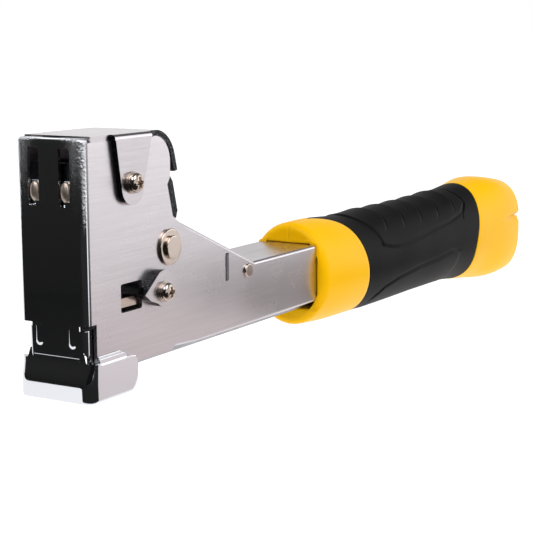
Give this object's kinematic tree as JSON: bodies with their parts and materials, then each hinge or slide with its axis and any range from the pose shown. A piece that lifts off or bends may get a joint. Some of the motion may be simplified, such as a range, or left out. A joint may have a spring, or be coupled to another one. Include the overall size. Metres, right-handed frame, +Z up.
{
  "type": "hammer tacker",
  "caption": "Hammer tacker that drives staples when swung: steel head and tube handle, chromed sliding nose on a hinged magazine, and a two-colour moulded grip.",
  "frame": {"origin": "middle of the striking face, level with the outside of the front plate", "axes": "+X from the head to the butt along the handle, +Y across the tool, +Z up from the striking face towards the top cap"},
  "size_m": [0.3483, 0.0388, 0.0897],
  "materials": {
    "brushed_steel_sheet": "satin, lengthwise brushed",
    "chrome_plate": "bright plated",
    "nickel_fasteners": "bright nickel plated",
    "tool_steel": "dark hardened and oiled",
    "zinc_steel": "zinc plated",
    "spring_steel": "bright spring wire",
    "staple_wire": "galvanised wire",
    "yellow_plastic": "fine satin moulded",
    "black_rubber": "soft matt overmoulded"
  },
  "bodies": {
    "housing": {"side_plate_near": "brushed_steel_sheet", "side_plate_far": "brushed_steel_sheet", "front_plate": "chrome_plate", "top_cap": "brushed_steel_sheet", "rear_plate": "brushed_steel_sheet", "driver_blade": "tool_steel", "driver_carrier": "zinc_steel", "screws": "nickel_fasteners", "nuts": "nickel_fasteners", "screw_pads": "brushed_steel_sheet", "spacer_tube": "zinc_steel", "stepped_rivet": "nickel_fasteners", "small_rivet": "nickel_fasteners", "window_bar": "nickel_fasteners", "spring_bracket": "nickel_fasteners", "return_spring": "spring_steel", "grip_sleeve": "black_rubber", "grip_core": "yellow_plastic", "hinge_pin": "tool_steel"},
    "magazine": {"foot": "chrome_plate", "nose_plate": "chrome_plate", "guide_lugs": "nickel_fasteners", "throat_block": "tool_steel", "magazine_channel": "zinc_steel", "staple_rail": "zinc_steel", "hinge_ears": "zinc_steel", "staple_strip": "staple_wire"},
    "rod": {"loading_rod": "zinc_steel", "end_knob": "yellow_plastic"},
    "follower": {"follower": "zinc_steel", "pusher_spring": "spring_steel"}
  },
  "joints": [
    {"name": "magazine_hinge", "type": "hinge", "parent": "housing", "child": "magazine", "pos_m": [0.323, 0, 0.0195], "axis": [0, 1, 0], "range_deg": [0, 1.67], "stiffness_Nm_per_rad": 20, "springref_deg": -6.88, "deforming": ["return_spring"]},
    {"name": "rod_pull", "type": "slide", "parent": "magazine", "child": "rod", "axis": [1, 0, 0], "range_m": [0, 0.12]},
    {"name": "follower_slide", "type": "slide", "parent": "rod", "child": "follower", "axis": [1, 0, 0], "range_m": [0, 0.05], "stiffness_N_per_m": 60, "springref_m": -0.03, "deforming": ["pusher_spring"]}
  ]
}
